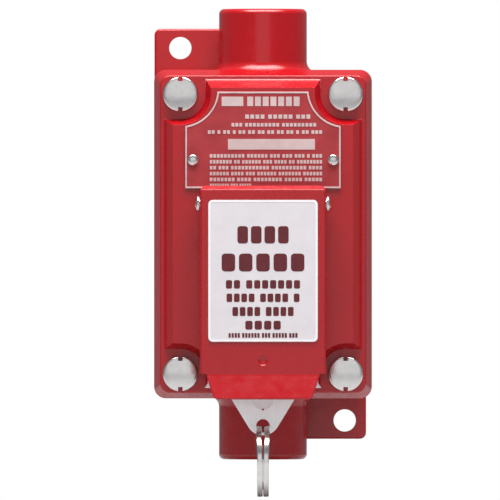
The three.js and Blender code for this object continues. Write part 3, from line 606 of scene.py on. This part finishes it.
def nameplate():
    front = PLATE_LOW.y
    plate = rolled_slab("plate", nameplate_outline, front + 0.25, PLATE_HIGH.y, 0.15)
    holes = [rod(1.55, (side * DRIVE_X, front - 1, DRIVE_Z), (0, 1, 0), 3, 24) for side in (1, -1)]
    cut(plate, *holes)
    settle(plate, "nameplate_field", "housing", PLATE_RED, ["nameplate"], bevel=0.1)
    rim = slab("rim", nameplate_outline(0.15), front, front + 0.6)
    cut(rim, slab("inner", nameplate_outline(0.95), front - 1, front + 1))
    settle(rim, "nameplate_rim", "housing", PALE, bevel=0.1)
    rows = [(-17.8, 26.4, 42.9, 48.3)]
    rows += [(-21, -10, 65.0, 69.8)] + letters(-8, 18.6, 65.0, 69.8, (7,), 0.3)
    rows += letters(-9, 24, 58.6, 60.7, (4, 5, 3), 0.35)
    rows += letters(-16, 27, 54.6, 56.4, (3, 9, 9), 0.35)
    rows += letters(-28, 30, 50.9, 52.7, (2, 1, 2, 1, 2, 2, 2, 2, 2, 2, 1, 2, 3), 0.35)
    lines = [(10, 6, 3, 3, 3, 1, 3), (7, 2, 6, 3, 4, 2, 8), (2, 3, 11, 10, 4), (6, 4, 3, 6, 7, 6),
             (7, 4, 8, 5, 5), (8, 3, 5)]
    for i, lengths in enumerate(lines):
        top = 40.6 - 3.0 * i
        rows += letters(-27, -6 if i == 5 else 30, top - 1.8, top, lengths, 0.35)
    bars("nameplate_lines", rows, front + 0.1, 0.3, "housing", PALE, 0)


# ---- Lift door ----
def door_profile(inset):
    """The door's side outline in Y and Z, moved in by inset where it faces out."""
    reach = DOOR_HIGH.z - HINGE.z - inset
    front = DOOR_FRONT + inset
    top = DOOR_HIGH.z - inset
    rim = DOOR_HIGH.y
    return [
        (rim, DOOR_BOTTOM),
        (rim, HINGE.z - 3.4),
        *arc(HINGE.y, HINGE.z, reach, 0, 90, 20),
        (front + 3.6, top),
        (front + 3.0, top - 0.12),
        (front + 0.15, top - 2.0),
        (front, top - 2.4),
        (front, DOOR_BOTTOM),
    ]


def door_blank():
    edge = 1.1
    half = DOOR_HIGH.x
    turns = [math.radians(18 * i) for i in range(6)]
    ends = [(edge * (1 - math.cos(a)), edge * (1 - math.sin(a))) for a in turns]
    low = [(-half + step, inset) for step, inset in ends]
    high = [(half - step, inset) for step, inset in reversed(ends)]
    return build("door", [[(x, y, z) for y, z in door_profile(inset)] for x, inset in low + high])


def door_lip():
    """The out-turned finger lip: a rounded bar section carried down and out of the door's front wall."""
    top, bottom = DOOR_BOTTOM + 2.2, DOOR_LOW.z
    out = DOOR_FRONT - DOOR_LOW.y - 0.05
    thick = 3.0
    edge = 0.8
    rings = []
    steps = 22
    for i in range(steps + 1):
        t = i / steps
        z = top + (bottom - top) * t
        bend = min(1.0, max(0.0, (DOOR_BOTTOM + 1.4 - z) / 3.2))
        fall = max(0.0, DOOR_BOTTOM - 0.2 - z) / (DOOR_BOTTOM - 0.2 - bottom)
        y = DOOR_FRONT - out * fall * (0.75 + 0.25 * bend)
        half = 29 - 4.1 * max(0.0, DOOR_BOTTOM - z) / (DOOR_BOTTOM - bottom)
        corner = max(0.0, 1 - (z - bottom) / 1.6)
        half -= 1.6 * (1 - math.sqrt(max(0.0, 1 - corner * corner)))
        thin = edge * 0.6 * max(0.0, 1 - (z - bottom) / 0.8) ** 2
        section = rounded_rect(half, thick / 2 - thin, edge - thin * 0.9, steps=4)
        rings.append([(x, y + thick / 2 + d, z) for x, d in section])
    return build("lip", rings)


def lift_door():
    half = DOOR_HIGH.x
    door = door_blank()
    corners = slab("corners", [
        (-half - 1, DOOR_BOTTOM - 1), (half + 1, DOOR_BOTTOM - 1), (half + 1, DOOR_HIGH.z - 3.2),
        *[(half - 2.8 + a, DOOR_HIGH.z - 2.2 + b) for a, b in ((2.8, 0), (2.0, 1.2), (1.1, 1.9), (0, 2.2))],
        *[(2.8 - half - a, DOOR_HIGH.z - 2.2 + b) for a, b in ((0, 2.2), (1.1, 1.9), (2.0, 1.2), (2.8, 0))],
        (-half - 1, DOOR_HIGH.z - 3.2),
    ], DOOR_FRONT - 2, DOOR_HIGH.y + 1)
    common(door, corners)
    reach = DOOR_HIGH.z - HINGE.z - 2.5
    end = 50.4
    hollow_profile = [
        (DOOR_HIGH.y + 5, DOOR_BOTTOM - 5),
        (DOOR_HIGH.y + 5, DOOR_HIGH.z + 2),
        (HINGE.y + 14 * math.cos(math.radians(end)), HINGE.z + 14 * math.sin(math.radians(end))),
        *arc(HINGE.y, HINGE.z, reach, end, 90, 10),
        *arc(DOOR_FRONT + 4.5, DOOR_HIGH.z - 4, 1.5, 90, 180, 5),
        (DOOR_FRONT + 3, DOOR_BOTTOM - 5),
    ]
    hollow = build("hollow", [[(x, y, z) for y, z in hollow_profile] for x in (-29.3, 29.3)])
    cut(door, hollow)
    join(door, door_lip())
    dimple = spin("dimple", [(1, -1), (2.6, -1), (2.6, 0), (2.2, 0.35), (1.0, 0.62), (0, 0.65)],
                  (0, DOOR_FRONT, DIMPLE_Z), (0, 1, 0), 48)
    cut(door, rod(2.7, (-40, HINGE.y, HINGE.z), (1, 0, 0), 80, 32), dimple)
    settle(door, "door_shell", "door", RED, ["lift_door"], bevel=0.3, angle=38)


def door_label():
    low, high = LABEL_LOW, LABEL_HIGH
    half_x, half_z = high.x, (high.z - low.z) / 2
    middle = (high.z + low.z) / 2

    def outline(inset):
        return rounded_rect(half_x - inset, half_z - inset, 2.3 - inset * 0.6, 0, middle)

    film = rolled_slab("film", outline, low.y + 0.12, high.y, 0.05)
    settle(film, "label_film", "door", LABEL, ["door_label"])
    rim = slab("rim", outline(0.25), low.y + 0.04, low.y + 0.14)
    cut(rim, slab("inner", outline(1.1), low.y - 1, low.y + 1))
    settle(rim, "label_rim", "door", BORDER)

    front, thickness = low.y + 0.06, 0.1
    rows = letters(-13, 13, -4.8, 4, (4,), 0.28)
    rows += letters(-21, 21, -19, -9.9, (5,), 0.28)
    rows += letters(-18.8, 18.8, -27.7, -23.4, (2, 7), 0.3)
    rows += letters(-18.5, 18.5, -34.5, -30.2, (4, 4, 1), 0.3)
    rows += letters(-15.5, 15.5, -41.6, -37, (4, 4), 0.3)
    rows += letters(-9, 9, -48.5, -44, (4,), 0.3)
    rows += letters(-17.5, 17.5, -52.6, -50.2, (4, 6, 3, 5, 3), 0.35)
    bars("label_lines", rows, front, thickness, "door", PRINT)


# ---- Pull plate and ring ----
def pull_outline(inset=0.0):
    shoulder, shoulder_z, tip, tip_z = 15.9, -84, 8.6, -93.6
    reach = math.hypot(shoulder, shoulder_z - tip_z)
    tangent = math.degrees(math.atan2(shoulder_z - tip_z, shoulder) - math.acos(tip / reach))
    top = PULL_HIGH.z - inset
    right = [(20, -78.1 + inset), (29.6 - inset * 1.4, -78.1 + inset), (28 - inset, -75.6), (28 - inset, top)]
    left = [(-x, z) for x, z in reversed(right)]
    return [
        *left,
        (-shoulder + inset, shoulder_z),
        *arc(0, tip_z, tip - inset, 180 - tangent, 360 + tangent, 28),
        (shoulder - inset, shoulder_z),
        *right,
    ]


def pull_plate():
    front, back = PULL_LOW.y, PULL_HIGH.y
    plate = rolled_slab("plate", pull_outline, front, back, 0.3)
    tools = [rod(3.4, (0, front - 1, RING_PIVOT.z), (0, 1, 0), 4, 64)]
    tools.append(rod(0.5, (0, front - 1, SEAL_HOLE_Z), (0, 1, 0), 4, 16))
    for side in (1, -1):
        slot = rounded_rect(3.3, 3.6 + TRAVEL / 2, 3.29, side * GUIDE_X, GUIDE_Z + TRAVEL / 2)
        tools.append(slab("slot", slot, front - 1, back + 1))
        tools.append(rod(1.5, (side * RIVET_X, front - 1, RIVET_Z), (0, 1, 0), 4, 24))
    bowl = [(5.6, -1), (5.6, 0), (5.2, 0.09), (4.4, 0.22), (3.0, 0.32), (1.5, 0.37), (0, 0.38)]
    dish = spin("dish", bowl, (0, front, -83.8), (0, 1, 0), 64)
    cut(plate, *tools, dish)
    settle(plate, "pull_sheet", "pull", BRUSHED, ["pull_plate"], bevel=0.12, angle=25)


def split_ring():
    """Nearly two turns of flat wire with rounded edges and a step from one coil to the other."""
    wide, deep = 1.4, 0.75
    radius = (RING_HIGH.z - RING_LOW.z) / 2 - deep
    centre = Vector((0, (RING_LOW.y + RING_HIGH.y) / 2, (RING_LOW.z + RING_HIGH.z) / 2))
    section = rounded_rect(wide, deep, 0.55, steps=4)
    start, sweep = math.radians(150), math.radians(693)
    step_from, step_to = math.radians(335), 2 * math.pi
    rings = []
    count = 300
    for i in range(count + 1):
        turn = sweep * i / count
        part = min(1.0, max(0.0, (turn - step_from) / (step_to - step_from)))
        across = (part * part * (3 - 2 * part) * 2 - 1) * (wide + 0.125)
        angle = start + turn
        across *= 1 + 0.36 * math.exp(-((math.acos(math.cos(angle)) - 0.75) / 0.5) ** 2)
        out = Vector((0, math.sin(angle), math.cos(angle)))
        taper = min(1.0, 0.55 + 0.45 * min(i, count - i) / 1.5)
        points = [(across + a * taper, radius + b * taper) for a, b in section]
        rings.append([centre + out * reach + Vector((x, 0, 0)) for x, reach in points])
    settle(build("ring", rings), "ring_wire", "ring", POLISHED, ["split_ring"], angle=50)


# ---- Plunger spring ----
def plunger_spring():
    """A close-wound helix of round wire that fills the spring's box."""
    low, high = place("plunger_spring")
    wire = 0.38
    radius = (high.x - low.x) / 2 - 0.4
    rings = []
    turns, steps = 4.5, 200
    for i in range(steps + 1):
        part = i / steps
        angle = 2 * math.pi * turns * part
        centre = Vector((radius * math.cos(angle), low.y + 0.4 + (high.y - low.y - 0.8) * part,
                         PLUNGER_Z + radius * math.sin(angle)))
        out = Vector((math.cos(angle), 0, math.sin(angle)))
        rings.append([centre + (out * a + Vector((0, b, 0))) * wire for a, b in arc(0, 0, 1, 0, 324, 9)])
    spring = build("spring", rings)
    settle(spring, "spring_wire", "housing", DULL, ["plunger_spring"], angle=50)
    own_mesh(spring)


# ---- Carried-over CAD nodes ----
def inner_pieces():
    looks = {
        "plunger": POLISHED, "plunger_bushing": BRONZE, "retaining_clip": DULL,
        "cam_block": DULL, "switch_bracket": DULL, "switch_body": BLACK, "switch_button": BUTTON,
        "ground_screw": BRASS,
    }
    for name in ("common", "open", "closed"):
        looks[f"terminal_{name}"] = BRASS
        looks[f"terminal_screw_{name}"] = BRASS
    for side in ("left", "right"):
        looks[f"bracket_screw_{side}"] = POLISHED
        looks[f"switch_screw_{side}"] = POLISHED
    for node, material in looks.items():
        piece = frame["nodes"][node]
        piece.data.materials.clear()
        piece.data.materials.append(material)
        edge = piece.modifiers.new("edge", "BEVEL")
        edge.width = 0.15 * MM
        edge.segments = 2
        edge.limit_method = "ANGLE"
        edge.angle_limit = math.radians(45)


# ---- Stage ----
def camera():
    reach = 12.0
    view_width = 0.254
    lens = bpy.data.cameras.new("camera")
    lens.sensor_width = 36
    lens.lens = lens.sensor_width * reach / view_width
    lens.clip_end = 60
    eye = bpy.data.objects.new("camera", lens)
    middle_x = (CAD_BOX[0][0] + CAD_BOX[1][0]) / 2
    middle_z = (CAD_BOX[0][2] + CAD_BOX[1][2]) / 2
    eye.location = (middle_x - 0.0066, PAD_FRONT * MM - reach, middle_z + 0.0012)
    eye.rotation_euler = (math.radians(90), 0, 0)
    bpy.context.scene.collection.objects.link(eye)
    bpy.context.scene.camera = eye


def area(name, location, target, size, power):
    light = bpy.data.lights.new(name, "AREA")
    light.shape = "RECTANGLE"
    light.size, light.size_y = size
    light.energy = power
    lamp = bpy.data.objects.new(name, light)
    lamp.location = location
    lamp.rotation_euler = (Vector(target) - Vector(location)).to_track_quat("-Z", "Y").to_euler()
    bpy.context.scene.collection.objects.link(lamp)


def stage():
    size = 1.6
    drop = (RING_LOW.z - 16) * MM
    depth = 0.5
    corners = [(-size, depth), (size, depth), (size, depth - 2 * size), (-size, depth - 2 * size)]
    mesh = bpy.data.meshes.new("floor")
    mesh.from_pydata([(x, y, drop) for x, y in corners], [], [(0, 3, 2, 1)])
    floor = bpy.data.objects.new("floor", mesh)
    bpy.context.scene.collection.objects.link(floor)
    pale = Nodes("pale floor")
    pale.colour(pale.noise(60, 3), (0.44, 0.44, 0.445), (0.48, 0.48, 0.485))
    floor.data.materials.append(pale.set(Roughness=0.6))

    world = bpy.data.worlds.new("studio")
    bpy.context.scene.world = world
    world.use_nodes = True
    tree = world.node_tree
    background = tree.nodes["Background"]
    lit = tree.nodes.new("ShaderNodeBackground")
    lit.inputs["Color"].default_value = (0.86, 0.86, 0.9, 1)
    lit.inputs["Strength"].default_value = 0.27
    background.inputs["Color"].default_value = (1, 1, 1, 1)
    background.inputs["Strength"].default_value = 1.0
    path = tree.nodes.new("ShaderNodeLightPath")
    mix = tree.nodes.new("ShaderNodeMixShader")
    tree.links.new(path.outputs["Is Camera Ray"], mix.inputs["Fac"])
    tree.links.new(lit.outputs["Background"], mix.inputs[1])
    tree.links.new(background.outputs["Background"], mix.inputs[2])
    tree.links.new(mix.outputs["Shader"], tree.nodes["World Output"].inputs["Surface"])

    area("top softbox", (0, -0.34, 1.1), (0, -0.05, 0), (1.2, 0.8), 35)
    area("front panel", (0, -3, 0.25), (0, 0, 0), (2.0, 1.7), 7)
    bpy.context.scene.view_settings.view_transform = "Standard"


camera()
stage()
back_box()
front_cover()
cover_bolts()
screws()
nameplate()
lift_door()
door_label()
pull_plate()
split_ring()
plunger_spring()
inner_pieces()
